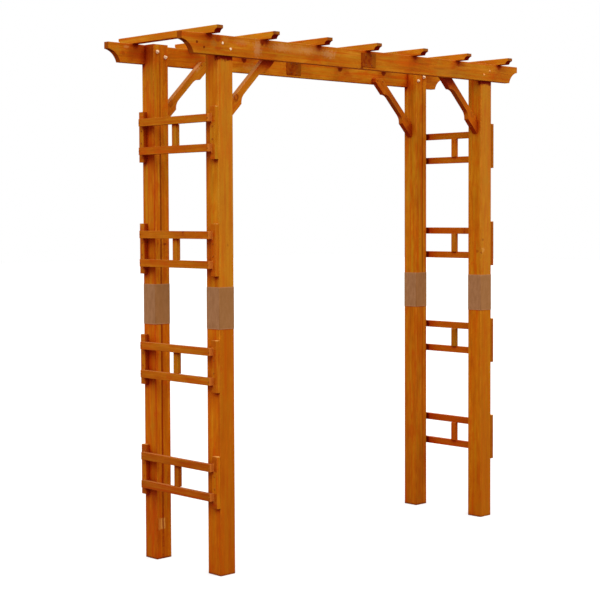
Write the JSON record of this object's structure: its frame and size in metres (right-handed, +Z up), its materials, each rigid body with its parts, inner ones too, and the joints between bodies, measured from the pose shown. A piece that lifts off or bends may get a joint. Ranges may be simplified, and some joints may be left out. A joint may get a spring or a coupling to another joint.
{
  "type": "garden arbor",
  "caption": "Free-standing garden arbor of stained timber: corner posts carry coved beams with cross rafters, curved knee braces, and small lattice panels up the open sides.",
  "frame": {"origin": "on the ground, midway between the four posts", "axes": "+X along the beams to the right as seen from the front, +Y through the arbor to the rear, +Z up"},
  "size_m": [2.49, 0.75, 2.6],
  "materials": {
    "stained_wood": "warm orange-brown stain, satin, with visible grain and knots",
    "sleeve_brown": "flat taupe-brown paint",
    "plate_brown": "dark brown stain over sheet steel, satin"
  },
  "bodies": {
    "root": {"post_lower_front_left": "stained_wood", "post_lower_front_right": "stained_wood", "post_lower_rear_left": "stained_wood", "post_lower_rear_right": "stained_wood", "post_upper_front_left": "stained_wood", "post_upper_front_right": "stained_wood", "post_upper_rear_left": "stained_wood", "post_upper_rear_right": "stained_wood", "sleeve_front_left": "sleeve_brown", "sleeve_front_right": "sleeve_brown", "sleeve_rear_left": "sleeve_brown", "sleeve_rear_right": "sleeve_brown", "beam_front_left": "stained_wood", "beam_front_right": "stained_wood", "beam_rear_left": "stained_wood", "beam_rear_right": "stained_wood", "plate_front_outer": "plate_brown", "plate_front_inner": "plate_brown", "plate_rear_outer": "plate_brown", "plate_rear_inner": "plate_brown", "rafter_1": "stained_wood", "rafter_2": "stained_wood", "rafter_3": "stained_wood", "rafter_4": "stained_wood", "rafter_5": "stained_wood", "rafter_6": "stained_wood", "rafter_7": "stained_wood", "brace_front_left": "stained_wood", "brace_front_right": "stained_wood", "brace_rear_left": "stained_wood", "brace_rear_right": "stained_wood", "panel_left_1": "stained_wood", "panel_left_2": "stained_wood", "panel_left_3": "stained_wood", "panel_left_4": "stained_wood", "panel_right_1": "stained_wood", "panel_right_2": "stained_wood", "panel_right_3": "stained_wood", "panel_right_4": "stained_wood"}
  },
  "joints": []
}
